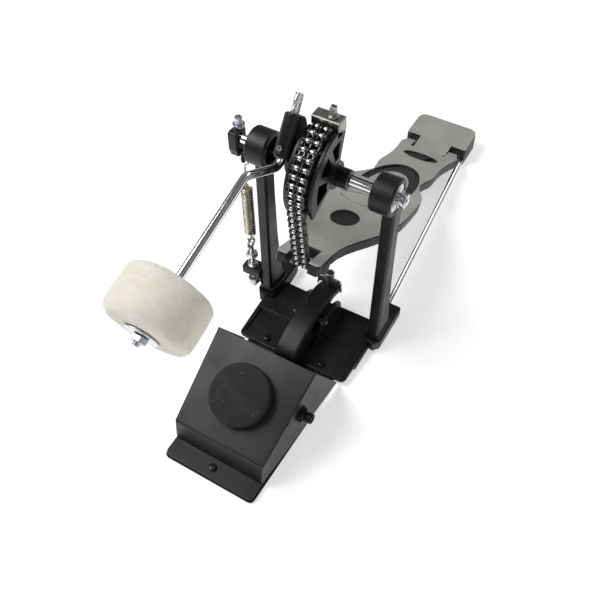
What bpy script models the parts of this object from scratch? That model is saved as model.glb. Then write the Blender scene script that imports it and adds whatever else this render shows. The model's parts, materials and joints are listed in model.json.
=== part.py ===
"""Chain-drive bass drum pedal with a trigger tower. Lengths below are millimetres; the model is in metres.

X points to the jack side, Y to the heel, Z up. The floor is z = 0 and the axle stands above y = 0.
"""
import math

import bmesh
import bpy
from mathutils import Matrix, Vector

MM = 0.001

# axle and bearings
AXLE_Z = 205.0
AXLE_FLATS = 8.0
AXLE_LEFT, AXLE_RIGHT = -90.0, 76.0
HOUSING_RADIUS = 16.8
HOUSING_OUTER, HOUSING_INNER = 67.8, 48.2
RACE_RADIUS = 12.0

# posts
POST_OUTER, POST_INNER = 67.5, 55.5

# base
BASE_HALF, BASE_FRONT, BASE_REAR = 62.0, -60.0, 20.0
DECK_Z, FRONT_DECK_Z = 10.0, 8.0
WING_INNER, WING_OUTER, WING_FRONT, WING_REAR, WING_Z = 51.0, 71.0, -3.0, 46.0, 15.0

# cam and chain
PITCH = 7.45
CHAIN_RADIUS = 44.8
DRUM_RADIUS = 40.9
FLANGE_RADIUS = 43.2
CAM_LOW, CAM_HIGH = -24.0, 108.0
LEAN = 6.5
LINKS = 3
FIRST_ROW = -4.94
PLATE_RADIUS = 3.3
WRAP_ROW, LAST_ROW = -9, 11
# y and z of the point each folding link, and then the straight run, turns about as it leaves the cam
CHAIN_POLES = ((-39.53, 226.34), (-41.57, 222.1), (-43.25, 217.95), (-44.32, 214.84))

# footboard: the top surface runs from (HEEL_EDGE_Y, HEEL_EDGE_Z) up to the toe
HINGE_Y, HINGE_Z = 276.0, 18.5
HEEL_EDGE_Y, HEEL_EDGE_Z = 275.0, 27.0
BOARD_ANGLE = 19.4
BOARD_LENGTH = 337.0
TOE_Y, TOE_Z = -29.3, 124.0
SKIN = 1.2
BOARD_DEPTH = 12.0

# heel plate
HEEL_HALF, HEEL_FRONT, HEEL_REAR, HEEL_Z = 38.7, 295.5, 338.5, 24.7
ROD_RADIUS = 3.0
ROD_Z = 8.0

# trigger tower
TOWER_TOP = (-99.5, 71.2)
TOWER_BEND = (-182.6, 32.1)
TOWER_TOE = (-186.7, 4.8)
TOWER_TAIL = (-60.6, 4.8)
TOWER_HALF_TOP, TOWER_HALF_BEND = 51.2, 46.3
TOWER_FRONT = -204.0
SHEET = 1.6
PAD_RADIUS, PAD_THICK = 28.5, 10.0

# beater
BEATER_RADIUS = 3.5
FELT_RADIUS, FELT_LENGTH = 36.0, 42.0

# spring side
SPRING_X = -78.5
SPRING_RADIUS, SPRING_WIRE, SPRING_COILS = 4.8, 0.95, 23
SPRING_TOP, SPRING_LOW = 150.0, 90.0
EYE_TOP_Z, EYE_LOW_Z = 180.0, 80.0

# hoop clamp
CLAMP_Y, CLAMP_Z = -19.0, 28.0
CLAMP_HALF = 10.8
SCREW_Y = 21.0


def clearScene():
    for obj in list(bpy.data.objects):
        bpy.data.objects.remove(obj, do_unlink=True)
    for mesh in list(bpy.data.meshes):
        bpy.data.meshes.remove(mesh)


def material(name, colour, roughness, metallic):
    mat = bpy.data.materials.new(name)
    mat.use_nodes = True
    shader = mat.node_tree.nodes["Principled BSDF"]
    shader.inputs["Base Color"].default_value = (*colour, 1.0)
    shader.inputs["Roughness"].default_value = roughness
    shader.inputs["Metallic"].default_value = metallic
    mat.diffuse_color = (*colour, 1.0)
    return mat


def toMesh(bm):
    bmesh.ops.recalc_face_normals(bm, faces=bm.faces)
    mesh = bpy.data.meshes.new("solid")
    bm.to_mesh(mesh)
    bm.free()
    return mesh


def combine(first, second, operation):
    """Boolean of two meshes through the EXACT solver; both inputs are used up."""
    a = bpy.data.objects.new("a", first)
    b = bpy.data.objects.new("b", second)
    for obj in (a, b):
        bpy.context.scene.collection.objects.link(obj)
    mod = a.modifiers.new("cut", "BOOLEAN")
    mod.operation, mod.solver, mod.object = operation, "EXACT", b
    graph = bpy.context.evaluated_depsgraph_get()
    out = bpy.data.meshes.new_from_object(a.evaluated_get(graph))
    bm = bmesh.new()
    bm.from_mesh(out)
    bmesh.ops.remove_doubles(bm, verts=bm.verts, dist=3e-6)
    bmesh.ops.dissolve_degenerate(bm, edges=bm.edges, dist=2e-6)
    bm.to_mesh(out)
    bm.free()
    for obj in (a, b):
        bpy.data.objects.remove(obj, do_unlink=True)
    bpy.data.meshes.remove(first)
    bpy.data.meshes.remove(second)
    return out


def union(*solids):
    out = solids[0]
    for solid in solids[1:]:
        out = combine(out, solid, "UNION")
    return out


def cut(solid, *tools):
    for tool in tools:
        solid = combine(solid, tool, "DIFFERENCE")
    return solid


def gather(*solids):
    """Several separate solids as one mesh."""
    bm = bmesh.new()
    for solid in solids:
        bm.from_mesh(solid)
        bpy.data.meshes.remove(solid)
    mesh = bpy.data.meshes.new("solid")
    bm.to_mesh(mesh)
    bm.free()
    return mesh


def bevelSharp(bm, width, segments=1, angle=40.0):
    if width <= 0:
        return
    edges = [e for e in bm.edges if len(e.link_faces) == 2 and e.calc_face_angle(0.0) > math.radians(angle)]
    bmesh.ops.bevel(bm, geom=edges, offset=width * MM, offset_type="OFFSET", affect="EDGES",
                    segments=segments, profile=0.5, clamp_overlap=True, material=-1)


def box(low, high, bevel=0.0, segments=1):
    bm = bmesh.new()
    size = [(b - a) * MM for a, b in zip(low, high)]
    centre = [(a + b) / 2 * MM for a, b in zip(low, high)]
    bmesh.ops.create_cube(bm, size=1.0, matrix=Matrix.Translation(centre) @ Matrix.Diagonal((*size, 1.0)))
    bmesh.ops.recalc_face_normals(bm, faces=bm.faces)
    bevelSharp(bm, bevel, segments)
    return toMesh(bm)


def prism(outline, axis, low, high, bevel=0.0, segments=1, angle=40.0):
    """Extrude a closed outline. It lies in (y, z), (x, z) or (x, y) for axis x, y or z."""
    place = {"x": lambda p, h: (h, p[0], p[1]), "y": lambda p, h: (p[0], h, p[1]),
             "z": lambda p, h: (p[0], p[1], h)}[axis]
    bm = bmesh.new()
    face = bm.faces.new([bm.verts.new(Vector(place(p, low)) * MM) for p in outline])
    made = bmesh.ops.extrude_face_region(bm, geom=[face])["geom"]
    step = Vector(place((0.0, 0.0), high - low)) * MM
    bmesh.ops.translate(bm, vec=step, verts=[v for v in made if isinstance(v, bmesh.types.BMVert)])
    bmesh.ops.recalc_face_normals(bm, faces=bm.faces)
    bevelSharp(bm, bevel, segments, angle)
    return toMesh(bm)


def alongAxis(direction):
    return Vector(direction).to_track_quat("Z", "Y").to_matrix().to_4x4()


def lathe(start, direction, profile, steps=14):
    """Turn a list of (radius, height) about the line from start along direction; ends may touch the axis."""
    bm = bmesh.new()
    verts = [bm.verts.new((r * MM, 0.0, h * MM)) for r, h in profile]
    for a, b in zip(verts, verts[1:]):
        bm.edges.new((a, b))
    if profile[0][0] > 0 and profile[-1][0] > 0:
        bm.edges.new((verts[-1], verts[0]))
    bmesh.ops.spin(bm, geom=bm.verts[:] + bm.edges[:], cent=(0, 0, 0), axis=(0, 0, 1),
                   angle=math.tau, steps=steps, use_merge=True)
    bmesh.ops.remove_doubles(bm, verts=bm.verts, dist=1e-7)
    bmesh.ops.transform(bm, matrix=Matrix.Translation(Vector(start) * MM) @ alongAxis(direction), verts=bm.verts)
    return toMesh(bm)


def cylinder(start, direction, length, radius, chamfer=0.0, steps=14, sides=None):
    """Closed cylinder, or a prism with the given number of sides, with chamfered ends."""
    c = chamfer
    profile = [(0, 0), (radius - c, 0), (radius, c), (radius, length - c), (radius - c, length), (0, length)]
    if c <= 0:
        profile = [(0, 0), (radius, 0), (radius, length), (0, length)]
    return lathe(start, direction, profile, sides or steps)


def tube(start, direction, length, outer, inner, steps=14, chamfer=0.0):
    c = chamfer
    profile = [(inner, 0), (outer - c, 0), (outer, c), (outer, length - c), (outer - c, length), (inner, length)]
    if c <= 0:
        profile = [(inner, 0), (outer, 0), (outer, length), (inner, length)]
    return lathe(start, direction, profile, steps)


def sweep(path, radius, sides=8, closed=False):
    """Round bar along a list of points, with flat ends unless it closes on itself."""
    bm = bmesh.new()
    points = [Vector(p) * MM for p in path]
    count = len(points)
    tangents = []
    for i in range(count):
        a = points[(i - 1) % count] if closed or i else points[i]
        b = points[(i + 1) % count] if closed or i < count - 1 else points[i]
        tangents.append((b - a).normalized())
    normal = tangents[0].orthogonal().normalized()
    rings = []
    for point, tangent in zip(points, tangents):
        normal = (normal - tangent * normal.dot(tangent)).normalized()
        side = tangent.cross(normal)
        rings.append([bm.verts.new(point + (normal * math.cos(a) + side * math.sin(a)) * radius * MM)
                      for a in (math.tau * k / sides for k in range(sides))])
    for i in range(count if closed else count - 1):
        a, b = rings[i], rings[(i + 1) % count]
        for k in range(sides):
            bm.faces.new((a[k], a[(k + 1) % sides], b[(k + 1) % sides], b[k]))
    if not closed:
        bm.faces.new(rings[0][::-1])
        bm.faces.new(rings[-1])
    return toMesh(bm)


def roundPath(points, radius, steps=6):
    """Replace the inner corners of a polyline by arcs tangent to both sides."""
    pts = [Vector(p) for p in points]
    out = [pts[0]]
    for a, b, c in zip(pts, pts[1:], pts[2:]):
        u, v = (a - b).normalized(), (c - b).normalized()
        half = u.angle(v) / 2
        reach = min(radius / math.tan(half), (a - b).length * 0.48, (c - b).length * 0.48)
        bend = reach * math.tan(half)
        centre = b + (u + v).normalized() * (bend / math.sin(half))
        first, last = b + u * reach - centre, b + v * reach - centre
        turn = first.angle(last)
        for k in range(steps + 1):
            t = k / steps
            out.append(centre + (first * math.sin((1 - t) * turn) + last * math.sin(t * turn)) / math.sin(turn))
    out.append(pts[-1])
    return out


def roundOutline(corners, radii, steps=2):
    """Closed outline with each corner rounded by its own radius."""
    pts = [Vector((x, y, 0.0)) for x, y in corners]
    out = []
    for i, b in enumerate(pts):
        a, c = pts[i - 1], pts[(i + 1) % len(pts)]
        if radii[i] <= 0:
            out.append((b.x, b.y))
            continue
        arc = roundPath([a, b, c], radii[i], steps)[1:-1]
        out.extend((p.x, p.y) for p in arc)
    return out


def arcPoints(centre, radius, start, end, steps):
    return [(centre[0] + radius * math.cos(math.radians(start + (end - start) * k / steps)),
             centre[1] + radius * math.sin(math.radians(start + (end - start) * k / steps)))
            for k in range(steps + 1)]


def place(name, solid, mat, pivot=(0.0, 0.0, 0.0), sharp=32.0):
    """Name the solid, set its origin at pivot, and shade its round faces smooth."""
    mesh = solid
    mesh.name = name
    mesh.transform(Matrix.Translation(Vector(pivot) * -MM))
    mesh.materials.clear()
    mesh.materials.append(mat)
    mesh.shade_smooth()
    mesh.set_sharp_from_angle(angle=math.radians(sharp))
    obj = bpy.data.objects.new(name, mesh)
    obj.location = Vector(pivot) * MM
    bpy.context.scene.collection.objects.link(obj)
    return obj


# ---------------------------------------------------------------- base and posts

def rodEnds(side):
    return (Vector((side * 56.5, WING_REAR - 16, ROD_Z)), Vector((side * 34.0, HEEL_FRONT + 16, ROD_Z)))


def rodBore(side):
    """Clearance hole for a stabiliser rod, a little longer than the rod at both ends."""
    start, end = rodEnds(side)
    way = (end - start).normalized()
    return cylinder(start - way, way, (end - start).length + 2.0, ROD_RADIUS + 0.4, steps=14)


def baseCasting():
    front = BASE_HALF - 2
    plate = prism(roundOutline([(-front, BASE_FRONT), (front, BASE_FRONT), (BASE_HALF, BASE_REAR),
                                (-BASE_HALF, BASE_REAR)], [5, 5, 1, 1]), "z", 4.8, FRONT_DECK_Z, 0.6)
    deck = prism([(-BASE_HALF + 3, -22), (BASE_HALF - 3, -22), (BASE_HALF - 1, BASE_REAR - 0.5),
                  (-BASE_HALF + 1, BASE_REAR - 0.5)], "z", 6, DECK_Z, 0.5)
    belly = box((-BASE_HALF + 0.5, -38, 2.4), (BASE_HALF - 0.5, BASE_REAR - 1, 6.5))
    solid = union(plate, deck, belly)
    for side in (-1, 1):
        edge = prism([(side * BASE_HALF, -10), (side * (front - 0.5), BASE_FRONT + 6),
                      (side * (front - 4.5), BASE_FRONT + 6), (side * (BASE_HALF - 6), -10)],
                     "z", 7, DECK_Z - 0.4, 0.5)
        wing = prism(roundOutline([(side * WING_INNER, -6.0), (side * WING_INNER, WING_REAR),
                                   (side * WING_OUTER, WING_REAR), (side * WING_OUTER, WING_FRONT),
                                   (side * (WING_OUTER - 5), WING_FRONT - 7)], [0, 2, 2, 3, 2]),
                     "z", 2.4, WING_Z, 0.8)
        wall = prism(roundOutline([(-38, 6.7), (14, 6.7), (14, 26), (4, 33), (-24, 33), (-38, 14)],
                                  [0, 0, 3, 4, 5, 3]), "x", side * 15.2 - 2.2, side * 15.2 + 2.2, 0.5)
        bore = rodBore(side)
        solid = cut(union(solid, edge, wing, wall), bore)
    pivot = cylinder((-25, CLAMP_Y, CLAMP_Z), (1, 0, 0), 50, 2.5, steps=12)
    holes = [cylinder((x, -52, 0), (0, 0, 1), 20, 2.4, steps=10) for x in (-31, 31)]
    socket = box((-9.5, SCREW_Y - 9, 8.4), (9.5, SCREW_Y + 9, 14), 0.0)
    return cut(solid, pivot, *holes, socket)


def baseRubber():
    outline = roundOutline([(-60, -37), (60, -37), (61, -5), (70, -3), (70, 45), (52, 45), (50, 19),
                            (-50, 19), (-52, 45), (-70, 45), (-70, -3), (-61, -5)],
                           [2, 2, 1, 2, 2, 2, 1, 1, 2, 2, 2, 1])
    return prism(outline, "z", 0.0, 2.1, 0.3)


def post(side):
    """Upright with its bearing housing; the left one also carries the spring lug."""
    rear = [(14.0, 196), (13.5, 150), (15.5, 90), (19.0, 45), (24.0, 15.4)]
    fore = [(-4.0, 15.4), (-3.0, 26), (-2.0, 100), (-2.0, 196)]
    low, high = sorted((side * POST_INNER, side * POST_OUTER))
    shaft = prism(rear + fore, "x", low, high, 1.8)
    foot = prism(roundOutline([(side * 52.5, -4), (side * 52.5, 26), (side * 69.5, 26), (side * 69.5, -4)],
                              [2, 2, 2, 2]), "z", 15.4, 20, 1.2)
    start = side * HOUSING_INNER if side > 0 else -HOUSING_OUTER
    length = HOUSING_OUTER - HOUSING_INNER
    housing = cylinder((start, 0, AXLE_Z), (1, 0, 0), length, HOUSING_RADIUS, 1.4, 26)
    solid = union(shaft, foot, housing)
    if side < 0:
        lug = prism(roundOutline([(-66.5, -7.5), (-66.5, 8), (-83, 8), (-88, 3), (-88, -7.5)],
                                 [0, 0, 3, 3, 2]), "z", 33, 43, 1.0)
        web = prism([(-66.5, 33.5), (-76, 33.5), (-66.5, 22)], "y", -4, 4, 0.4)
        solid = cut(union(solid, lug, web), cylinder((SPRING_X, 0, 25), (0, 0, 1), 30, 2.7, steps=12))
    bore = cylinder((start - 2, 0, AXLE_Z), (1, 0, 0), length + 4, RACE_RADIUS + 0.3, steps=26)
    return cut(solid, bore)


def outerRace(side):
    """Bearing outer ring with its two thin shields."""
    low = side * 57.6 if side > 0 else -67.0
    r = RACE_RADIUS
    profile = [(8.3, 0.3), (9.2, 0), (r, 0), (r, 9.4), (9.2, 9.4), (8.3, 9.1), (8.3, 8.5), (9.2, 8.2), (9.2, 1.2),
               (8.3, 0.9)]
    return lathe((low, 0, AXLE_Z), (1, 0, 0), profile, 22)


def innerRace(side):
    low = side * 57.6 if side > 0 else -67.0
    return tube((low, 0, AXLE_Z), (1, 0, 0), 9.4, 7.9, 4.95, 22)


def screwHead(x, y, z, radius, height, length, shank):
    """Pan-head screw with a cross recess; the shank runs along z."""
    profile = [(0, -length), (shank, -length), (shank, 0), (radius, 0), (radius, height * 0.45),
               (radius * 0.82, height * 0.85), (radius * 0.45, height), (0, height)]
    solid = lathe((x, y, z), (0, 0, 1), profile, 14)
    arms = [box((x - radius * 0.55, y - 0.45, z + height - 1.2), (x + radius * 0.55, y + 0.45, z + height + 1)),
            box((x - 0.45, y - radius * 0.55, z + height - 1.2), (x + 0.45, y + radius * 0.55, z + height + 1))]
    return cut(solid, *arms)


# ---------------------------------------------------------------- axle group

def hexAxle():
    start = (AXLE_LEFT + 3, 0, AXLE_Z)
    length = 69.5 - AXLE_LEFT - 3
    bar = cylinder(start, (1, 0, 0), length, AXLE_FLATS / math.sqrt(3), 0.4, sides=6)
    tip = cylinder((60, 0, AXLE_Z), (1, 0, 0), AXLE_RIGHT - 60, 2.9, 0.5, 12)
    return union(bar, tip)


def axleNut():
    nut = cylinder((69.9, 0, AXLE_Z), (1, 0, 0), 5.0, 6.6, 0.5, sides=6)
    flange = cylinder((68.9, 0, AXLE_Z), (1, 0, 0), 1.4, 7.2, 0.2, 18)
    return cut(union(nut, flange), cylinder((66, 0, AXLE_Z), (1, 0, 0), 12, 3.2, steps=12),
               cylinder((66, 0, AXLE_Z), (1, 0, 0), 3.95, 4.95, steps=14))


def camPoint(angle, radius):
    """Point of the cam plane; the angle opens from the front (-Y) towards the top."""
    a = math.radians(angle)
    return (-radius * math.cos(a), AXLE_Z + radius * math.sin(a))


def camArc(radius, start, end, steps):
    return [camPoint(start + (end - start) * k / steps, radius) for k in range(steps + 1)]


def cam():
    def sector(radius, low, high, bevel):
        outline = [(0, AXLE_Z)] + camArc(radius, CAM_LOW, CAM_HIGH, 18)
        return prism(outline, "x", low, high, bevel)
    solid = union(sector(DRUM_RADIUS, -12.0, 12.0, 0.0),
                  sector(FLANGE_RADIUS, -13.0, -9.6, 0.5), sector(FLANGE_RADIUS, 9.6, 13.0, 0.5),
                  cylinder((-13.4, 0, AXLE_Z), (1, 0, 0), 26.8, 12.5, 0.5, 20),
                  cylinder((10, 0, AXLE_Z), (1, 0, 0), 15, 8.6, 0.6, 28))
    for low, high in ((-14, 22), (33, 62), (73, 96)):
        window = camArc(33.5, low, high, 6) + camArc(17.5, high - 3, low + 3, 4)
        solid = cut(solid, prism(window, "x", 4.5, 15), prism(window, "x", -15, -4.5))
    seat = box((-20, -1.5, AXLE_Z + 37.5), (20, 16, AXLE_Z + 60))
    screw = cylinder((4, 6.5, AXLE_Z + 26), (0, 0, 1), 20, 2.3, steps=10)
    bore = cylinder((-16, 0, AXLE_Z), (1, 0, 0), 45, 4.95, steps=14)
    return cut(solid, seat, screw, bore)


def clampBlock():
    block = box((-12.8, 0.5, AXLE_Z + 41.0), (12.8, 13.0, AXLE_Z + 50.5), 0.8)
    foot = box((-12.8, 6.0, AXLE_Z + 37.8), (12.8, 13.0, AXLE_Z + 43.0), 0.4)
    return cut(union(block, foot), cylinder((4, 6.5, AXLE_Z + 30), (0, 0, 1), 30, 2.35, steps=12))


def clampScrew():
    shank = [(0, -22), (1.9, -22), (1.9, 0.4), (4.6, 0.4), (4.6, 1.6), (3.2, 2.0), (3.2, 2.6), (0, 2.6)]
    body = lathe((4, 6.5, AXLE_Z + 50.5), (0, 0, 1), shank, 14)
    head = box((4 - 2.5, 6.5 - 2.5, AXLE_Z + 52.5), (4 + 2.5, 6.5 + 2.5, AXLE_Z + 60.5), 0.4)
    return union(body, head)


def chainRow(index):
    """Centre of chain row `index`; row 0 stands just above the point where the chain leaves the cam."""
    s = FIRST_ROW + index * PITCH
    lean = math.radians(LEAN)
    if s >= 0:
        foot = camPoint(-LEAN, CHAIN_RADIUS)
        return (foot[0] + math.sin(lean) * s, foot[1] - math.cos(lean) * s)
    return camPoint(-LEAN + math.degrees(-s / CHAIN_RADIUS), CHAIN_RADIUS)


def linkOutline(rows):
    """Closed side outline of the links between the given chain rows: round at each pin, narrow between."""
    points = [Vector(p) for p in rows]
    upper, lower = [], []
    for i, p in enumerate(points):
        ahead = (points[min(i + 1, len(points) - 1)] - points[max(i - 1, 0)]).normalized()
        side = Vector((-ahead.y, ahead.x))
        if i:
            back = (p - points[i - 1]).normalized()
            middle = (p + points[i - 1]) / 2
            across = Vector((-back.y, back.x)) * PLATE_RADIUS * 0.68
            upper.append(middle + across)
            lower.append(middle - across)
        for shift in ((-0.55, 0.55) if i in (0, len(points) - 1) else (0.0,)):
            rim = p + ahead * PLATE_RADIUS * shift
            upper.append(rim + side * PLATE_RADIUS * (1.0 - abs(shift) * 0.12))
            lower.append(rim - side * PLATE_RADIUS * (1.0 - abs(shift) * 0.12))
    first = (points[1] - points[0]).normalized()
    last = (points[-1] - points[-2]).normalized()
    near = [points[0] - first * PLATE_RADIUS]
    far = [points[-1] + last * PLATE_RADIUS]
    return [(q.x, q.y) for q in near + lower + far + upper[::-1]]


def chainPiece(first, last, open_top=True):
    """Rows first..last of the two-strand chain: three plate packs and a roller pin at every row but the first."""
    rows = [chainRow(row) for row in range(first, last + 1)]
    inner = ((-6.7, -5.4), (-2.3, -1.1), (1.1, 2.3), (5.4, 6.7))
    outer = ((-7.9, -6.95), (-0.8, 0.8), (6.95, 7.9))
    pack = ((-7.9, -5.6), (-2.2, 2.2), (5.6, 7.9))
    single = inner if (first if open_top else last - 1) % 2 == 0 else outer
    if last == first + 1:
        plates = [(rows, layer) for layer in single]
    elif open_top:
        plates = [(rows[:2], layer) for layer in single] + [(rows[1:], layer) for layer in pack]
    else:
        plates = [(rows[-2:], layer) for layer in single] + [(rows[:-1], layer) for layer in pack]
    solids = [prism(linkOutline(line), "x", low, high) for line, (low, high) in plates]
    loose = len(single)
    solid = gather(*solids[:loose])
    if solids[loose:]:
        solid = union(solid, gather(*solids[loose:]))
    if open_top:
        solid = cut(solid, cylinder((-10, *rows[0]), (1, 0, 0), 20, 2.55, steps=8))
    pins = [cylinder((-8.4, *row), (1, 0, 0), 16.8, 2.0, steps=6) for row in (rows[1:] if open_top else rows)]
    return union(solid, gather(*pins))


def chainHook():
    """Hook plates outside the chain, joined by a cup that passes under the toe pin."""
    end = chainRow(LAST_ROW)
    angle = math.degrees(math.atan2(TOE_Z - end[1], TOE_Y - end[0]))
    near = arcPoints(end, 3.0, angle + 80, angle + 280, 5)
    far = arcPoints((TOE_Y, TOE_Z), 5.9, angle - 100, angle + 100, 8)
    solid = prism(near + far, "x", 8.85, 10.25, 0.25)
    other = prism(near + far, "x", -10.25, -8.85, 0.25)
    cup = prism(arcPoints((TOE_Y, TOE_Z), 5.6, 255, 345, 4) + arcPoints((TOE_Y, TOE_Z), 4.3, 345, 255, 4),
                "x", -9.5, 9.5)
    solid = union(solid, cup, other)
    return cut(solid, cylinder((-15, TOE_Y, TOE_Z), (1, 0, 0), 30, 4.3, steps=18),
               cylinder((-15, *end), (1, 0, 0), 30, 1.85, steps=10))


def beaterLine():
    """Corner points of the bent beater rod, from the knurled end to the threaded tip."""
    return [(-22.0, 1.0, 271.5), (-22.0, -32.0, 223.0), (-28.0, -70.0, 240.5), (-28.0, -213.5, 200.0)]


def beaterDirection():
    pts = beaterLine()
    return (Vector(pts[3]) - Vector(pts[2])).normalized()


def beaterHolder():
    pts = [Vector(p) for p in beaterLine()[:2]]
    way = (pts[1] - pts[0]).normalized()
    top = pts[0] + way * 16.0
    barrel = cylinder(top, way, 35.0, 7.4, 1.2, 18)
    hub = cylinder((-30.0, 0, AXLE_Z), (1, 0, 0), 14.6, 13.2, 1.0, 22)
    outline = [(-12.5, AXLE_Z + 4), (-31, AXLE_Z + 25), (-12, AXLE_Z + 51.5), (2, AXLE_Z + 46), (12.5, AXLE_Z + 4)]
    web = prism(roundOutline(outline, [0, 3, 3, 4, 0]), "x", -28.5, -16.5, 1.4)
    solid = union(barrel, hub, web)
    rod = cylinder(pts[0] - way * 10, way, 80, BEATER_RADIUS + 0.35, steps=14)
    bore = cylinder((-34, 0, AXLE_Z), (1, 0, 0), 24, 4.95, steps=14)
    side = Vector((0.0, way.z, -way.y))
    if side.y > 0:
        side = -side
    screw = cylinder(top + way * 27, side, 14, 2.45, steps=10)
    return cut(solid, rod, bore, screw)


def holderScrew():
    pts = [Vector(p) for p in beaterLine()[:2]]
    way = (pts[1] - pts[0]).normalized()
    side = Vector((0.0, way.z, -way.y))
    if side.y > 0:
        side = -side
    start = pts[0] + way * 43.0 + side * (BEATER_RADIUS + 0.3)
    body = cylinder(start, side, 6.3, 2.1, 0.3, 10)
    return cut(body, cylinder(start + side * 4.3, side, 4, 1.2, sides=6))


def beaterRod():
    pts = beaterLine()
    path = roundPath(pts, 9.0, 5)
    bar = sweep(path, BEATER_RADIUS, 10)
    tip = Vector(pts[3])
    step = beaterDirection()
    relief = tube(tip - step * 62.0, step, 70.0, 6.0, BEATER_RADIUS - 0.5, 14)
    return cut(bar, relief)


def beaterPart(distance, profile, steps=20):
    """Turned part on the beater rod; the distance is taken back from the rod's tip."""
    tip = Vector(beaterLine()[3])
    step = beaterDirection()
    return lathe(tip - step * distance, step, profile, steps)


def feltHead():
    r, n, hole = FELT_RADIUS, FELT_LENGTH, BEATER_RADIUS - 0.1
    curve = 7.0
    rim = [(r - curve + curve * math.sin(math.radians(a)), curve - curve * math.cos(math.radians(a)))
           for a in (0, 30, 60, 90)]
    back = [(x, n - y) for x, y in reversed(rim)]
    return beaterPart(51.5, [(hole, 0)] + rim + back + [(hole, n)], 30)


def feltWasher(distance, radius):
    return beaterPart(distance, [(BEATER_RADIUS - 0.1, 0), (radius - 0.3, 0), (radius, 0.3), (radius, 1.0),
                                 (radius - 0.3, 1.3), (BEATER_RADIUS - 0.1, 1.3)])


def beaterNut(distance):
    nut = beaterPart(distance, [(0, 0), (6.2, 0), (6.9, 0.6), (6.9, 4.4), (6.2, 5.0), (0, 5.0)], 6)
    start = Vector(beaterLine()[3]) - beaterDirection() * (distance + 2)
    return cut(nut, cylinder(start, beaterDirection(), 10, BEATER_RADIUS - 0.15, steps=16))


# ---------------------------------------------------------------- spring side

def crankBlock():
    outline = roundOutline([(-7.5, AXLE_Z - 9), (-5, AXLE_Z - 17), (3.5, AXLE_Z - 17), (8.5, AXLE_Z - 9),
                            (8.5, AXLE_Z + 8.5), (-7.5, AXLE_Z + 8.5)], [3, 1, 1, 3, 2, 2])
    solid = prism(outline, "x", -89.0, -80.0, 0.8)
    slot = box((-90, -0.6, AXLE_Z + 2), (-70, 0.6, AXLE_Z + 12))
    bore = cylinder((-92, 0, AXLE_Z), (1, 0, 0), 22, 4.95, steps=14)
    pin = cylinder((-92, -0.5, AXLE_Z - 13.5), (1, 0, 0), 20, 2.0, steps=10)
    top = cylinder((-84.5, 4.6, AXLE_Z + 4.8), (0, 0, 1), 10, 1.9, steps=10)
    return cut(solid, bore, pin, slot, top)


def crankScrew():
    profile = [(0, -2.6), (1.5, -2.6), (1.5, 0.35), (3.4, 0.35), (3.4, 6.4), (2.9, 7.0), (0, 7.0)]
    solid = lathe((-84.5, 4.6, AXLE_Z + 11.3), (0, 0, 1), profile, 14)
    return cut(solid, cylinder((-84.5, 4.6, AXLE_Z + 15.5), (0, 0, 1), 6, 1.7, sides=6))


def crankWasher():
    return tube((-84.5, 4.6, AXLE_Z + 8.85), (0, 0, 1), 2.4, 5.4, 1.85, 18)


def springSwivel():
    """Pin through the crank with an eye plate that carries the spring hook."""
    pin = cylinder((-90.0, -0.5, AXLE_Z - 13.5), (1, 0, 0), 11.8, 1.65, 0.2, 10)
    head = cylinder((-91.2, -0.5, AXLE_Z - 13.5), (1, 0, 0), 1.8, 3.0, 0.3, 12)
    plate = prism(roundOutline([(-3.8, AXLE_Z - 25), (2.8, AXLE_Z - 25), (2.8, AXLE_Z - 10.5),
                                (-3.8, AXLE_Z - 10.5)], [2.5, 2.5, 2.5, 2.5]), "x", -79.3, -77.7)
    return cut(union(pin, head, plate), cylinder((-85, -0.1, AXLE_Z - 20.7), (1, 0, 0), 10, 1.9, steps=14))


def hookPath(centre_z, sign, start_z):
    """Straight shank and a hook in the XZ plane that ends round the eye."""
    points = [(SPRING_X, 0.0, start_z), (SPRING_X, 0.0, centre_z - sign * 4.0)]
    for k in range(1, 11):
        a = math.radians(-90 + 27 * k)
        points.append((SPRING_X + 3.6 * math.cos(a), 0.0, centre_z + sign * (0.4 + 3.4 * math.sin(a))))
    return points


def springSolid():
    turns, per = SPRING_COILS, 8
    coil = []
    for k in range(turns * per + 1):
        a = math.tau * k / per
        t = k / (turns * per)
        fade = min(1.0, t * turns / 0.75, (1 - t) * turns / 0.75)
        coil.append((SPRING_X + SPRING_RADIUS * fade * math.cos(a), SPRING_RADIUS * fade * math.sin(a),
                     SPRING_LOW + (SPRING_TOP - SPRING_LOW) * t))
    upper = hookPath(EYE_TOP_Z, 1, SPRING_TOP + 1.5)
    lower = hookPath(EYE_LOW_Z, -1, SPRING_LOW - 1.5)
    return sweep(lower[::-1] + coil + upper, SPRING_WIRE, 5)


def eyeBolt():
    eye = lathe((SPRING_X, 0, 0), (0, 0, 1), [(0, 10), (2.2, 10), (2.2, 70.5), (0, 70.5)], 12)
    ring = arcPoints((0.0, 75.6), 5.6, 0, 360, 14)[:-1]
    hoop = sweep([(SPRING_X, y, z) for y, z in ring], 1.35, 6, closed=True)
    return union(eye, hoop)


def lugNut(z, radius, height):
    nut = cylinder((SPRING_X, 0, z), (0, 0, 1), height, radius, 0.4, sides=6)
    flange = cylinder((SPRING_X, 0, z), (0, 0, 1), 1.2, radius + 0.6, 0.2, 14)
    return cut(union(nut, flange), cylinder((SPRING_X, 0, z - 2), (0, 0, 1), height + 4, 2.5, steps=12))


def thumbNut():
    solid = tube((SPRING_X, 0, 16.8), (0, 0, 1), 7.0, 6.0, 2.5, 16, 0.6)
    grips = [box((SPRING_X + 6.6 * math.cos(a) - 0.5, 6.6 * math.sin(a) - 0.5, 15),
                 (SPRING_X + 6.6 * math.cos(a) + 0.5, 6.6 * math.sin(a) + 0.5, 26))
             for a in (math.tau * k / 8 for k in range(8))]
    return cut(solid, gather(*grips))


# ---------------------------------------------------------------- footboard and heel

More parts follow.
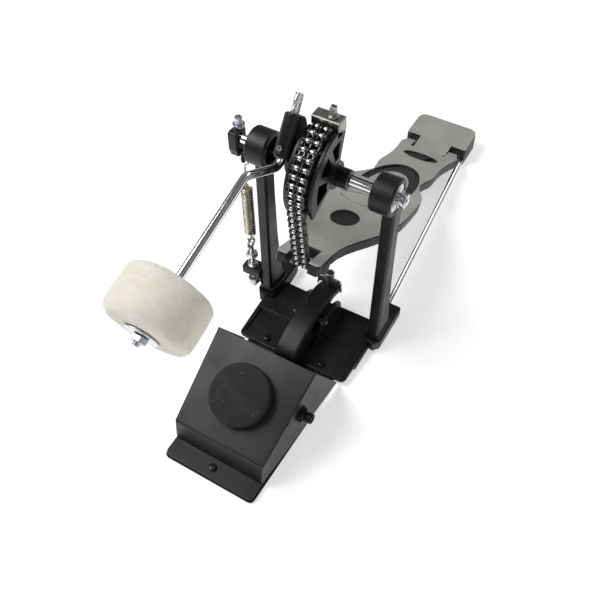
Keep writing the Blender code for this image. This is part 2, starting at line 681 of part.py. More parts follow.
def boardHalf(u):
    """Half width of the board at distance u from its heel edge."""
    marks = [(-14, 37), (0, 37), (26, 33), (42, 31.3), (62, 31.5), (80, 34), (112, 26), (136, 43), (156, 44.5),
             (182, 46), (208, 46), (232, 42.5), (250, 37), (266, 30.5), (280, 25), (297, 21), (312, 20.5),
             (330, 22), (340, 22)]
    for (a, p), (b, q) in zip(marks, marks[1:]):
        if a <= u <= b:
            t = (u - a) / (b - a)
            return p + (q - p) * t
    return marks[-1][1]


def smoothHalf(u):
    return sum(boardHalf(u + d) for d in (-9, -6, -3, 0, 3, 6, 9)) / 7


def boardOutline(shrink, low, high, notch_half, notch_depth, fork_half, fork_depth):
    """Outline in (x, u): wide waist, notched toe and forked heel."""
    steps = 26
    marks = [low + (high - low) * k / steps for k in range(steps + 1)]
    right = [(smoothHalf(u) - shrink, u) for u in marks]
    right[-1] = (right[-1][0] - 2.5, high)
    right[-2] = (right[-2][0], high - 2.5)
    toe = [(notch_half, high), (notch_half, high - notch_depth)]
    heel = [(fork_half, low + fork_depth), (fork_half, low)]
    half = heel + right + toe
    return half + [(-x, u) for x, u in reversed(half)]


def boardFrame(solid):
    """Move a solid from board coordinates (x, u along the board, height over its top) into place."""
    a = math.radians(BOARD_ANGLE)
    base = Matrix(((1, 0, 0, 0), (0, -math.cos(a), math.sin(a), HEEL_EDGE_Y * MM),
                   (0, math.sin(a), math.cos(a), HEEL_EDGE_Z * MM), (0, 0, 0, 1)))
    solid.transform(base)
    solid.flip_normals()
    return solid


def footboard():
    outline = boardOutline(0.0, -11.0, BOARD_LENGTH, 10.6, 25.5, 21.5, 19.5)
    solid = prism(outline, "z", -BOARD_DEPTH, -SKIN - 0.3, 0.9, 1, 75)
    pocket = boardOutline(3.6, 16.0, 296.0, 0.0, 0.0, 0.0, 0.0)
    pocket = [p for p in pocket if abs(p[0]) > 0.5]
    hollow = prism(pocket, "z", -BOARD_DEPTH - 5, -6.2)
    ribs = [box((-2.0, 14, -BOARD_DEPTH + 0.8), (2.0, 298, -5.5))]
    for u in (62, 112, 162, 208, 254):
        half = smoothHalf(u) - 2.0
        ribs.append(box((-half, u - 1.6, -BOARD_DEPTH + 0.8), (half, u + 1.6, -5.5)))
    solid = union(cut(solid, hollow), *ribs)
    solid = boardFrame(solid)
    parts = []
    for side in (-1, 1):
        low, high = sorted((side * 11.0, side * 22.0))
        parts.append(cylinder((low, TOE_Y, TOE_Z), (1, 0, 0), high - low, 6.6, 0.8, 28))
        web = [(TOE_Y - 5.5, TOE_Z + 1), (TOE_Y + 6.2, TOE_Z), (TOE_Y + 12, TOE_Z + 2.5), (TOE_Y - 5.5, TOE_Z + 8.5)]
        parts.append(prism(web, "x", low + 0.6, high - 0.6))
        low, high = sorted((side * 22.0, side * 36.6))
        parts.append(cylinder((low, HINGE_Y, HINGE_Z), (1, 0, 0), high - low, 6.4, 0.6, 28))
    solid = union(solid, *parts)
    holes = [cylinder((-40, HINGE_Y, HINGE_Z), (1, 0, 0), 80, 3.35, steps=14)]
    for side in (-1, 1):
        holes.append(cylinder((side * 18.0 if side > 0 else -18.0, TOE_Y, TOE_Z), (-side, 0, 0), 12, 2.85, steps=12))
    return cut(solid, *holes)


def ellipse(x, u, a, b, steps=20):
    return [(x + a * math.cos(math.tau * k / steps), u + b * math.sin(math.tau * k / steps)) for k in range(steps)]


def arch(u, outer, inner, steps=14):
    """Horseshoe open towards the toe; outer and inner are (half width, depth)."""
    turns = [math.pi * k / steps for k in range(steps + 1)]
    first = [(outer[0] * math.cos(t), u - outer[1] * math.sin(t)) for t in turns]
    second = [(inner[0] * math.cos(t), u - inner[1] * math.sin(t)) for t in reversed(turns)]
    return first + second


def footSkin():
    """Silver top sheet; the dark figures are openings that show the black casting under it."""
    outline = boardOutline(0.3, -10.6, BOARD_LENGTH - 0.3, 11.0, 25.9, 21.8, 19.9)
    solid = prism(outline, "z", -SKIN, 0.0)
    figures = [ellipse(0, 32, 21.5, 11.0), ellipse(-1, 239, 14.0, 18.0), arch(139, (30, 69), (21, 42))]
    for side in (-1, 1):
        rim = arcPoints((0, 0), 46, 53, 127, 16) + arcPoints((0, 0), 44.2, 127, 53, 10)
        figures.append([(x - 2, 190 + side * (y - 33.0)) for x, y in rim])
    for figure in figures:
        solid = cut(solid, prism(figure, "z", -5, 5))
    return boardFrame(solid)


def heelPlate():
    body = prism(roundOutline([(-HEEL_HALF, HEEL_FRONT), (HEEL_HALF, HEEL_FRONT), (HEEL_HALF, HEEL_REAR),
                               (-HEEL_HALF, HEEL_REAR)], [2, 2, 9, 9]), "z", 2.4, HEEL_Z - SKIN - 0.3, 0.8, 1, 60)
    tongue = prism(roundOutline([(HINGE_Y - 6.6, 12.2), (HEEL_FRONT + 3, 8), (HEEL_FRONT + 3, HEEL_Z - SKIN - 0.3),
                                 (HINGE_Y - 6.6, HEEL_Z - SKIN - 0.3)], [5, 0, 0, 5]), "x", -20.5, 20.5, 0.5)
    solid = union(body, tongue)
    holes = [cylinder((-40, HINGE_Y, HINGE_Z), (1, 0, 0), 80, 3.35, steps=14)]
    holes += [rodBore(-1), rodBore(1)]
    return cut(solid, *holes)


def heelSkin():
    h = HEEL_HALF - 0.4
    outline = roundOutline([(-h, HEEL_FRONT + 0.4), (-20.2, HEEL_FRONT + 0.4), (-20.2, HINGE_Y - 5), (20.2, HINGE_Y - 5),
                            (20.2, HEEL_FRONT + 0.4), (h, HEEL_FRONT + 0.4), (h, HEEL_REAR - 0.4),
                            (-h, HEEL_REAR - 0.4)], [2, 0, 2, 2, 0, 2, 9, 9])
    return prism(outline, "z", HEEL_Z - SKIN, HEEL_Z, 0.25, 1, 60)


def heelRubber():
    h = HEEL_HALF - 1.5
    return prism(roundOutline([(-h, HEEL_FRONT + 1.5), (h, HEEL_FRONT + 1.5), (h, HEEL_REAR - 1.5),
                               (-h, HEEL_REAR - 1.5)], [2, 2, 8, 8]), "z", 0.0, 2.1, 0.3)


def stabiliser(side):
    start, end = rodEnds(side)
    return cylinder(start, end - start, (end - start).length, ROD_RADIUS, 0.6, 12)


# ---------------------------------------------------------------- hoop clamp

def clampArm():
    top = [(29, 26), (26, 32.5), (12, 38.5), (-8, 42.0), (-30, 41.5), (-50, 37.0), (-64, 30.5), (-71, 24.0)]
    under = [(-71, 16.5), (-63, 16.5), (-60, 22.5), (-46, 29.0), (-30, 32.5), (-24, 23.0), (-14, 23.0), (-8, 33.0),
             (12, 30.5), (24, 26)]
    solid = prism(top + under, "x", -CLAMP_HALF, CLAMP_HALF, 1.2)
    pivot = cylinder((-20, CLAMP_Y, CLAMP_Z), (1, 0, 0), 40, 2.5, steps=12)
    screw = cylinder((0, SCREW_Y, 15), (0, 0, 1), 40, 3.4, steps=12)
    lobe = cylinder((0, SCREW_Y, 24.8), (0, 0, 1), 11.6, 8.0, 1.0, 18)
    return cut(union(solid, lobe), pivot, screw)


def clampPin():
    return cylinder((-18.6, CLAMP_Y, CLAMP_Z), (1, 0, 0), 37.2, 2.15, 0.4, 12)


def thumbScrew():
    profile = [(0, 8.9), (2.6, 8.9), (3.0, 9.5), (3.0, 37.5), (4.6, 37.5), (4.6, 54.0), (3.9, 54.6), (2.4, 54.6),
               (2.4, 47.0), (0, 46.0)]
    body = lathe((0, SCREW_Y, 0), (0, 0, 1), profile, 14)
    wing = prism(roundOutline([(2, 39), (11, 36.5), (14.5, 26), (13, 46), (2, 47)], [0, 2, 3, 3, 0]),
                 "y", SCREW_Y - 1.3, SCREW_Y + 1.3, 0.5)
    other = prism(roundOutline([(-2, 39), (-11, 36.5), (-14.5, 26), (-13, 46), (-2, 47)], [0, 2, 3, 3, 0]),
                  "y", SCREW_Y - 1.3, SCREW_Y + 1.3, 0.5)
    bowl = cylinder((0, SCREW_Y, 47.5), (0, 0, 1), 10, 2.4, steps=14)
    return cut(union(body, wing, other), bowl)


# ---------------------------------------------------------------- trigger tower

def towerHalf(y):
    t = (TOWER_TOP[0] - y) / (TOWER_TOP[0] - TOWER_BEND[0])
    return TOWER_HALF_TOP + (TOWER_HALF_BEND - TOWER_HALF_TOP) * t


def faceFrame():
    """Unit vectors of the striking face: down the slope and outwards."""
    along = Vector((0, TOWER_BEND[0] - TOWER_TOP[0], TOWER_BEND[1] - TOWER_TOP[1])).normalized()
    out = Vector((0, along.z, -along.y))
    return along, (out if out.z > 0 else -out)


def towerBody(profile, inset):
    bm = bmesh.new()
    left = [bm.verts.new(Vector((-towerHalf(y) + inset, y, z)) * MM) for y, z in profile]
    right = [bm.verts.new(Vector((towerHalf(y) - inset, y, z)) * MM) for y, z in profile]
    bm.faces.new(left)
    bm.faces.new(right[::-1])
    for i in range(len(profile)):
        j = (i + 1) % len(profile)
        bm.faces.new((left[i], left[j], right[j], right[i]))
    return bm


def towerCover():
    along, out = faceFrame()
    outer = towerBody([TOWER_TOP, TOWER_BEND, TOWER_TOE, TOWER_TAIL], 0.0)
    bmesh.ops.recalc_face_normals(outer, faces=outer.faces)
    edges = [e for e in outer.edges
             if all(abs(v.co.y / MM - TOWER_BEND[0]) < 0.1 for v in e.verts)
             or (abs(e.verts[0].co.x) > 0 and e.verts[0].co.x * e.verts[1].co.x > 0
                 and {round(v.co.z / MM, 1) for v in e.verts} in ({71.2, 32.1}, {32.1, 4.8}))]
    bmesh.ops.bevel(outer, geom=edges, offset=1.6 * MM, offset_type="OFFSET", affect="EDGES", segments=3,
                    profile=0.5, clamp_overlap=True, material=-1)
    shell = toMesh(outer)
    a = Vector((0, *TOWER_TOP)) - out * SHEET - along * 30
    b = Vector((0, *TOWER_BEND)) - out * SHEET
    b = b + along * -0.6
    inner = towerBody([(a.y, a.z), (b.y, b.z), (TOWER_TOE[0] + SHEET, TOWER_TOE[1] - 4), (-30.0, 0.8), (-30.0, 60.0)],
                      SHEET)
    shell = cut(shell, toMesh(inner))
    h = TOWER_HALF_BEND - 0.2
    flange = prism(roundOutline([(-h, TOWER_TOE[0] + 1.0), (-h, TOWER_FRONT), (h, TOWER_FRONT),
                                 (h, TOWER_TOE[0] + 1.0)], [0, 4, 4, 0]), "z", 4.8, 4.8 + SHEET, 0.3)
    solid = union(shell, flange)
    centre = Vector((0, *TOWER_TOP)) + along * 45.9
    holes = [cylinder(centre - out * 6, out, 12, 2.6, steps=12),
             cylinder((30, -124, 38), (1, 0, 0), 40, 5.0, steps=18),
             cylinder((0, -195, 0), (0, 0, 1), 20, 2.4, steps=12)]
    for y, z in ((-129.0, 41.0), (-143.0, 35.0)):
        x = towerHalf(y)
        lift = TOWER_TOP[1] + (TOWER_TOP[0] - y) * -0.4705
        holes.append(box((x - 4.0, y - 3.0, lift - 3.4), (x + 3, y + 3.0, lift - 2.0)))
    return cut(solid, *holes)


def towerFloor():
    h = TOWER_HALF_BEND - 0.4
    corners = [(-h, TOWER_FRONT + 0.4), (h, TOWER_FRONT + 0.4), (h, -186), (towerHalf(-100) - 1, -96), (48, -40),
               (-48, -40), (-towerHalf(-100) + 1, -96), (-h, -186)]
    plate = prism(roundOutline(corners, [4, 4, 0, 2, 2, 2, 2, 0]), "z", 2.4, 4.45, 0.3)
    holes = [cylinder((x, -52, 0), (0, 0, 1), 20, 2.4, steps=10) for x in (-31, 31)]
    return cut(plate, cylinder((0, -195, 0), (0, 0, 1), 20, 2.4, steps=10), *holes)


def towerRubber():
    h = TOWER_HALF_BEND + 0.6
    corners = [(-h, TOWER_FRONT - 0.8), (h, TOWER_FRONT - 0.8), (h + 3, -100), (48, -40), (-48, -40), (-h - 3, -100)]
    return prism(roundOutline(corners, [4, 4, 2, 2, 2, 2]), "z", 0.0, 2.1, 0.3)


def facePoint(distance, lift, x=0.0):
    along, out = faceFrame()
    p = Vector((x, *TOWER_TOP)) + along * distance + out * lift
    return p


def strikingPad():
    along, out = faceFrame()
    r, t = PAD_RADIUS, PAD_THICK
    rim = [(r - 3.5 + 3.5 * math.cos(math.radians(a)), t - 3.5 + 3.5 * math.sin(math.radians(a)))
           for a in (0, 30, 60, 90)]
    profile = [(0, 0), (r - 0.4, 0), (r, 0.4)] + rim + [(0, t)]
    stem = cylinder(facePoint(45.9, -1.2), out, 3, 2.2, steps=10)
    return union(lathe(facePoint(45.9, 0.35), out, profile, 30), stem)


def piezoDisc():
    along, out = faceFrame()
    return cylinder(facePoint(45.9, -SHEET - 3.4), out, 1.6, 13.5, 0.2, 20)


def foamBlock():
    along, out = faceFrame()
    return cylinder(facePoint(45.9, -SHEET - 12.0), out, 8.3, 15.5, 0.8, 20)


def jackSocket():
    x = towerHalf(-124)
    profile = [(3.2, 14.0), (4.4, 14.0), (4.75, 13.6), (4.75, 2.3), (4.75, 0.0), (8.2, -2.2), (8.2, -20), (3.2, -20)]
    body = lathe((x - SHEET - 0.4, -124, 38), (1, 0, 0), profile, 18)
    plug = cylinder((x - SHEET - 22.4, -124, 38), (1, 0, 0), 4.0, 8.2, 0.4, 18)
    return union(body, plug)


def jackNut():
    x = towerHalf(-124)
    nut = cylinder((x + 2.15, -124, 38), (1, 0, 0), 2.8, 7.9, 0.3, sides=6)
    washer = cylinder((x + 1.0, -124, 38), (1, 0, 0), 1.3, 8.1, 0.2, 18)
    return cut(union(nut, washer), cylinder((x - 2, -124, 38), (1, 0, 0), 10, 5.1, steps=18))


def build():
    clearScene()
    black = material("black_powder_coat", (0.014, 0.014, 0.015), 0.42, 0.1)
    nylon = material("black_nylon", (0.012, 0.012, 0.013), 0.38, 0.0)
    sheet = material("dark_grey_sheet", (0.04, 0.04, 0.038), 0.45, 0.3)
    rubber = material("black_rubber", (0.017, 0.018, 0.023), 0.8, 0.0)
    silver = material("speckled_silver", (0.5, 0.5, 0.46), 0.5, 0.25)
    chrome = material("bright_chrome", (0.78, 0.79, 0.8), 0.12, 1.0)
    steel = material("zinc_steel", (0.6, 0.62, 0.64), 0.3, 1.0)
    nickel = material("warm_nickel", (0.62, 0.58, 0.5), 0.28, 1.0)
    chain = material("black_nickel", (0.06, 0.06, 0.062), 0.3, 0.9)
    felt = material("cream_felt", (0.78, 0.73, 0.62), 0.95, 0.0)
    brass = material("piezo_brass", (0.65, 0.48, 0.2), 0.35, 1.0)
    axis = (0.0, 0.0, AXLE_Z)
    hinge = (0.0, HINGE_Y, HINGE_Z)
    clamp = (0.0, CLAMP_Y, CLAMP_Z)
    screw = (0.0, SCREW_Y, 30.0)

    place("base_casting", baseCasting(), black)
    place("base_rubber", baseRubber(), rubber)
    place("left_post", post(-1), black)
    place("right_post", post(1), black)
    for name, side in (("left", -1), ("right", 1)):
        place(name + "_outer_race", outerRace(side), steel, axis)
        place(name + "_inner_race", innerRace(side), steel, axis)
    for name, x in (("left_base_screw", -31), ("right_base_screw", 31)):
        place(name, screwHead(x, -52, FRONT_DECK_Z + 0.3, 3.6, 2.4, 5.6, 2.0), steel)

    place("hex_axle", hexAxle(), chrome, axis)
    place("axle_nut", axleNut(), steel, axis)
    place("cam", cam(), nylon, axis)
    place("chain_clamp_block", clampBlock(), steel, axis)
    place("chain_clamp_screw", clampScrew(), chrome, axis)
    place("chain_wrapped", chainPiece(WRAP_ROW, -LINKS, False), chain, axis)
    for k in range(LINKS):
        row = -LINKS + k
        place("chain_link_%d" % (k + 1), chainPiece(row, row + 1), chain, (0, *CHAIN_POLES[k]))
    run = union(chainPiece(0, LAST_ROW), cylinder((-10.3, *chainRow(LAST_ROW)), (1, 0, 0), 20.6, 1.5, steps=10))
    place("chain_run", run, chain, (0, *CHAIN_POLES[LINKS]))
    place("chain_hook", chainHook(), steel, (0, *CHAIN_POLES[LINKS]))
    place("toe_pin", cylinder((-17.6, TOE_Y, TOE_Z), (1, 0, 0), 35.2, 2.5, 0.3, 12), steel, hinge)

    place("beater_holder", beaterHolder(), black, axis)
    place("holder_screw", holderScrew(), steel, axis)
    place("beater_rod", beaterRod(), chrome, axis)
    place("felt_head", feltHead(), felt, axis)
    place("front_washer", feltWasher(9.2, 14.0), steel, axis)
    place("rear_washer", feltWasher(53.1, 9.0), steel, axis)
    place("beater_nut", beaterNut(7.6), steel, axis)

    place("crank_block", crankBlock(), black, axis)
    place("crank_washer", crankWasher(), steel, axis)
    place("crank_screw", crankScrew(), steel, axis)
    place("spring_swivel", springSwivel(), black, (0, -0.5, AXLE_Z - 13.5))
    place("spring", springSolid(), nickel)
    place("eye_bolt", eyeBolt(), steel)
    place("upper_nut", lugNut(57.5, 5.6, 4.5), steel)
    place("lug_nut", lugNut(43.3, 5.0, 4.2), steel)
    place("thumb_nut", thumbNut(), steel, (SPRING_X, 0, 20))

    place("footboard", footboard(), black, hinge)
    place("footboard_top", footSkin(), silver, hinge)
    place("heel_plate", heelPlate(), black)
    place("heel_top", heelSkin(), silver)
    place("heel_pin", cylinder((-38.6, HINGE_Y, HINGE_Z), (1, 0, 0), 77.2, 3.0, 0.4, 14), steel)
    place("heel_rubber", heelRubber(), rubber)
    place("left_rod", stabiliser(-1), chrome)
    place("right_rod", stabiliser(1), chrome)

    place("clamp_arm", clampArm(), black, clamp)
    place("clamp_pin", clampPin(), steel)
    place("clamp_screw", thumbScrew(), steel, screw)

    place("tower_cover", towerCover(), sheet)
    place("tower_floor", towerFloor(), sheet)
    place("tower_rubber", towerRubber(), rubber)
    place("striking_pad", strikingPad(), rubber)
    place("piezo_disc", piezoDisc(), brass)
    place("foam_block", foamBlock(), rubber)
    place("jack_socket", jackSocket(), nylon)
    place("jack_nut", jackNut(), nylon)
    place("tower_screw", screwHead(0, -195, 4.8 + SHEET + 0.3, 3.8, 2.4, 4.2, 2.0), steel)


build()
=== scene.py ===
import bisect
import json
import math
import random

import bmesh
import bpy
from mathutils import Matrix, Vector, noise


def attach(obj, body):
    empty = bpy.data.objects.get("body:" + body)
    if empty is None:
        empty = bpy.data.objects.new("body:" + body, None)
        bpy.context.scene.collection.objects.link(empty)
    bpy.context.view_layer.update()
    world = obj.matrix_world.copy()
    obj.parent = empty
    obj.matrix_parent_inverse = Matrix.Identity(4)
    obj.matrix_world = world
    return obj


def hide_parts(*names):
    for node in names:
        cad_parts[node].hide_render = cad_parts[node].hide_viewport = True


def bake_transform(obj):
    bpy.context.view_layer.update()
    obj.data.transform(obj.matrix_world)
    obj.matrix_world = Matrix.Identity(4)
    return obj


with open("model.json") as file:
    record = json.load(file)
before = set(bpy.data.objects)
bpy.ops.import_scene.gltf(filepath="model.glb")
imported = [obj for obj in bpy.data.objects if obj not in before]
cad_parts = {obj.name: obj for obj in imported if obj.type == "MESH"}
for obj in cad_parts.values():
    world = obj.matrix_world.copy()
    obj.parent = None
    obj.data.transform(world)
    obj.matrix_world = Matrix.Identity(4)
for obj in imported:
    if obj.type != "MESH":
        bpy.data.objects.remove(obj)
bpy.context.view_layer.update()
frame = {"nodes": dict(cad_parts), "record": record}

nodes = frame["nodes"]
mm = 0.001
stage = bpy.context.scene
axleHeight = 205.0
print("frame loaded:", len(nodes), "nodes")


# a finish is one Principled surface with patches, grain, optional flecks, bump and uneven gloss
def makeFinish(name, look):
    finish = bpy.data.materials.new(name)
    finish.use_nodes = True
    tree, links = finish.node_tree.nodes, finish.node_tree.links
    shader = tree["Principled BSDF"]
    for socket, value in look.get("sockets", {}).items():
        shader.inputs[socket].default_value = value
    place = tree.new("ShaderNodeTexCoord").outputs["Object"]
    if "stretch" in look:  # draws the grain out along one direction
        mapping = tree.new("ShaderNodeMapping")
        mapping.inputs["Rotation"].default_value = [math.radians(a) for a in look.get("turn", (0, 0, 0))]
        mapping.inputs["Scale"].default_value = look["stretch"]
        links.new(place, mapping.inputs["Vector"])
        place = mapping.outputs["Vector"]

    def noiseTexture(scale, detail, rough=0.6):
        texture = tree.new("ShaderNodeTexNoise")
        texture.inputs["Scale"].default_value = scale
        texture.inputs["Detail"].default_value = detail
        texture.inputs["Roughness"].default_value = rough
        links.new(place, texture.inputs["Vector"])
        return texture.outputs["Fac"]

    def ramp(source, stops):
        band = tree.new("ShaderNodeValToRGB")
        for element, (at, colour) in zip(band.color_ramp.elements, stops):
            element.position, element.color = at, (*colour, 1.0)
        links.new(source, band.inputs["Fac"])
        return band.outputs["Color"]

    def mixed(first, second, kind, factor):
        mix = tree.new("ShaderNodeMix")
        mix.data_type, mix.blend_type = "RGBA", kind
        for value, socket in ((first, mix.inputs[6]), (second, mix.inputs[7]), (factor, mix.inputs[0])):
            if isinstance(value, bpy.types.NodeSocket):
                links.new(value, socket)
            else:
                socket.default_value = value
        return mix.outputs[2]

    patches = noiseTexture(look["patchScale"], 5.0)
    grain = noiseTexture(look["grainScale"], look.get("grainDetail", 3.0), 0.7)
    surface = ramp(patches, [(0.36, look["dark"]), (0.64, look["light"])])
    if "grainShade" in look:  # darkens the low spots of the grain, painting shade into the hollows of its bump
        low = look["grainShade"]
        surface = mixed(surface, ramp(grain, [(0.35, (low, low, low)), (0.62, (1, 1, 1))]), "MULTIPLY", 1.0)
    if "flecks" in look:
        fleck = look["flecks"]
        edge = [(fleck["from"], (0, 0, 0)), (fleck["from"] + 0.04, (1, 1, 1))]
        mask = ramp(noiseTexture(fleck["scale"], 1.0, 0.4), edge)
        surface = mixed(surface, (*fleck["colour"], 1.0), "MIX", mask)
    links.new(surface, shader.inputs["Base Color"])
    gloss = tree.new("ShaderNodeMapRange")
    for socket, value in zip(("From Min", "From Max", "To Min", "To Max"), (0.32, 0.68, *look["roughness"])):
        gloss.inputs[socket].default_value = value
    links.new(patches, gloss.inputs["Value"])
    links.new(gloss.outputs["Result"], shader.inputs["Roughness"])
    bump = tree.new("ShaderNodeBump")
    bump.inputs["Strength"].default_value = look["bump"]
    bump.inputs["Distance"].default_value = look.get("bumpDepth", 0.0003)
    height = grain
    if "ridges" in look:  # parallel ribs or knurling
        for direction in look["ridges"]["directions"]:
            wave = tree.new("ShaderNodeTexWave")
            wave.bands_direction = direction
            wave.inputs["Scale"].default_value = look["ridges"]["scale"]
            links.new(place, wave.inputs["Vector"])
            add = tree.new("ShaderNodeMath")
            links.new(height, add.inputs[0])
            links.new(wave.outputs["Fac"], add.inputs[1])
            height = add.outputs[0]
    links.new(height, bump.inputs["Height"])
    links.new(bump.outputs["Normal"], shader.inputs["Normal"])
    return finish


finishLooks = {
    "powderCoat": dict(dark=(0.0045, 0.0045, 0.005), light=(0.008, 0.008, 0.0085),
                       sockets={"Specular IOR Level": 0.38}, patchScale=60, grainScale=1500,
                       roughness=(0.36, 0.52), bump=0.22, bumpDepth=0.0002,
                       flecks=dict(scale=420, colour=(0.05, 0.05, 0.048)) | {"from": 0.74}),
    "blackNylon": dict(dark=(0.0045, 0.0045, 0.005), light=(0.0075, 0.0075, 0.008),
                       sockets={"Specular IOR Level": 0.38}, patchScale=45, grainScale=900,
                       roughness=(0.3, 0.44), bump=0.12, bumpDepth=0.0002),
    "sheetPaint": dict(dark=(0.0125, 0.0125, 0.0125), light=(0.0165, 0.0165, 0.0163),
                       sockets={"Specular IOR Level": 0.42}, patchScale=38, grainScale=1100,
                       roughness=(0.4, 0.52), bump=0.3, bumpDepth=0.00022,
                       flecks=dict(scale=500, colour=(0.09, 0.09, 0.085)) | {"from": 0.76}),
    "padRubber": dict(dark=(0.0085, 0.009, 0.012), light=(0.0125, 0.013, 0.017),
                      patchScale=70, grainScale=1400,
                      roughness=(0.66, 0.84), bump=0.35, bumpDepth=0.00025,
                      flecks=dict(scale=520, colour=(0.12, 0.12, 0.12)) | {"from": 0.735}),
    "soleRubber": dict(dark=(0.010, 0.010, 0.011), light=(0.017, 0.017, 0.018),
                       patchScale=90, grainScale=1200,
                       roughness=(0.7, 0.88), bump=0.5, bumpDepth=0.0004,
                       ridges=dict(scale=95, directions=("X",))),
    "speckledSilver": dict(dark=(0.50, 0.50, 0.465), light=(0.57, 0.57, 0.53), patchScale=32, grainScale=1500,
                           grainShade=0.6, roughness=(0.42, 0.56), bump=0.28, bumpDepth=0.0002,
                           sockets={"Metallic": 0.25},
                           flecks=dict(scale=1500, colour=(0.22, 0.22, 0.21)) | {"from": 0.68}),
    "brightChrome": dict(dark=(0.74, 0.75, 0.77), light=(0.86, 0.87, 0.88), patchScale=70, grainScale=700,
                         roughness=(0.06, 0.15), bump=0.008, bumpDepth=0.0002, sockets={"Metallic": 1.0}),
    "knurledChrome": dict(dark=(0.62, 0.63, 0.66), light=(0.85, 0.86, 0.88), patchScale=160, grainScale=900,
                          roughness=(0.2, 0.34), bump=0.4, bumpDepth=0.0003, sockets={"Metallic": 1.0},
                          ridges=dict(scale=260, directions=("Z", "DIAGONAL"))),
    "zincPlate": dict(dark=(0.50, 0.52, 0.55), light=(0.64, 0.66, 0.69), patchScale=120, grainScale=1300,
                      roughness=(0.24, 0.36), bump=0.02, bumpDepth=0.0002, sockets={"Metallic": 1.0}),
    "warmNickel": dict(dark=(0.36, 0.32, 0.26), light=(0.68, 0.63, 0.55), patchScale=150, grainScale=1100,
                       roughness=(0.16, 0.34), bump=0.02, bumpDepth=0.0002, sockets={"Metallic": 1.0}),
    "blackNickel": dict(dark=(0.05, 0.05, 0.052), light=(0.13, 0.13, 0.135), patchScale=180, grainScale=1200,
                        roughness=(0.22, 0.4), bump=0.12, bumpDepth=0.0002, sockets={"Metallic": 0.9}),
    "rollerSteel": dict(dark=(0.55, 0.55, 0.53), light=(0.84, 0.84, 0.82), patchScale=200, grainScale=1300,
                        roughness=(0.14, 0.3), bump=0.02, bumpDepth=0.0002, sockets={"Metallic": 1.0}),
    "creamFelt": dict(dark=(0.93, 0.88, 0.76), light=(0.98, 0.95, 0.85), patchScale=90, grainScale=420,
                      grainDetail=9.0, grainShade=0.9, roughness=(0.9, 1.0), bump=0.85, bumpDepth=0.0011,
                      stretch=(1.0, 2.6, 2.6),
                      sockets={"Sheen Weight": 0.35, "Sheen Roughness": 0.5}),
    "blackScrew": dict(dark=(0.02, 0.02, 0.021), light=(0.05, 0.05, 0.052), patchScale=200, grainScale=1400,
                       roughness=(0.25, 0.42), bump=0.15, bumpDepth=0.0002, sockets={"Metallic": 0.8}),
    "piezoBrass": dict(dark=(0.50, 0.36, 0.15), light=(0.72, 0.54, 0.25), patchScale=110, grainScale=1000,
                       roughness=(0.25, 0.42), bump=0.1, bumpDepth=0.0002, sockets={"Metallic": 1.0}),
    "satinNickel": dict(dark=(0.27, 0.265, 0.245), light=(0.42, 0.41, 0.385), patchScale=110, grainScale=900,
                        roughness=(0.3, 0.46), bump=0.14, bumpDepth=0.0002, sockets={"Metallic": 1.0}),
    # darker copy of the pad rubber for the pad's side: painted shade
    "padSidePaintedShade": dict(dark=(0.004, 0.004, 0.005), light=(0.007, 0.007, 0.009), patchScale=70, grainScale=1200,
                    roughness=(0.6, 0.75), bump=0.3, bumpDepth=0.00025),
    "greyFoam": dict(dark=(0.020, 0.020, 0.022), light=(0.035, 0.035, 0.038), patchScale=90, grainScale=700,
                     roughness=(0.85, 0.97), bump=0.7, bumpDepth=0.0006),
}
finishes = {name: makeFinish(name, look) for name, look in finishLooks.items()}
slotFinish = {
    "black_powder_coat": "powderCoat", "black_nylon": "blackNylon", "dark_grey_sheet": "sheetPaint",
    "black_rubber": "soleRubber", "speckled_silver": "speckledSilver", "bright_chrome": "brightChrome",
    "zinc_steel": "zincPlate", "warm_nickel": "warmNickel", "black_nickel": "blackNickel",
    "cream_felt": "creamFelt", "piezo_brass": "piezoBrass",
}
slotOf = {part["node"]: part["material_slot"] for part in frame["record"]["subparts"]}
ownFinish = {
    "foam_block": "greyFoam", "left_base_screw": "blackScrew", "right_base_screw": "blackScrew",
    "tower_screw": "blackScrew",
    "chain_clamp_block": "satinNickel", "chain_clamp_screw": "satinNickel",
}
bodyOf = {node: body for body, members in frame["record"]["behaviour"]["bodies"].items() for node in members}
for name, obj in nodes.items():
    obj.data.materials.clear()
    obj.data.materials.append(finishes[ownFinish.get(name, slotFinish[slotOf[name]])])
print("finishes made:", len(finishes))


def finishPiece(name, bm, finish, node, replace=True, sharp=34.0, rigid=True):
    bmesh.ops.recalc_face_normals(bm, faces=bm.faces)
    mesh = bpy.data.meshes.new(name)
    bm.to_mesh(mesh)
    bm.free()
    mesh.materials.append(finishes[finish])
    mesh.shade_smooth()
    mesh.set_sharp_from_angle(angle=math.radians(sharp))
    piece = bpy.data.objects.new(name, mesh)
    stage.collection.objects.link(piece)
    if rigid:
        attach(piece, bodyOf[node])
    if replace:
        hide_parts(node)
    return piece


def standOn(start, direction):
    turn = Vector(direction).to_track_quat("Z", "Y").to_matrix().to_4x4()
    return Matrix.Translation(Vector(start) * mm) @ turn


# a turned part: (radius, height) corners spun about a line
def turned(bm, profile, steps, at):
    verts = [bm.verts.new((r * mm, 0, h * mm)) for r, h in profile]
    edges = [bm.edges.new(pair) for pair in zip(verts, verts[1:])]
    if profile[0][0] > 0 and profile[-1][0] > 0:
        edges.append(bm.edges.new((verts[-1], verts[0])))
    bmesh.ops.spin(bm, geom=verts + edges, cent=(0, 0, 0), axis=(0, 0, 1), angle=math.tau, steps=steps,
                   use_merge=True)
    fresh = [v for v in bm.verts if not v.tag]
    bmesh.ops.remove_doubles(bm, verts=fresh, dist=1e-7)
    fresh = [v for v in bm.verts if not v.tag]
    bmesh.ops.transform(bm, matrix=at, verts=fresh)
    for v in bm.verts:
        v.tag = True


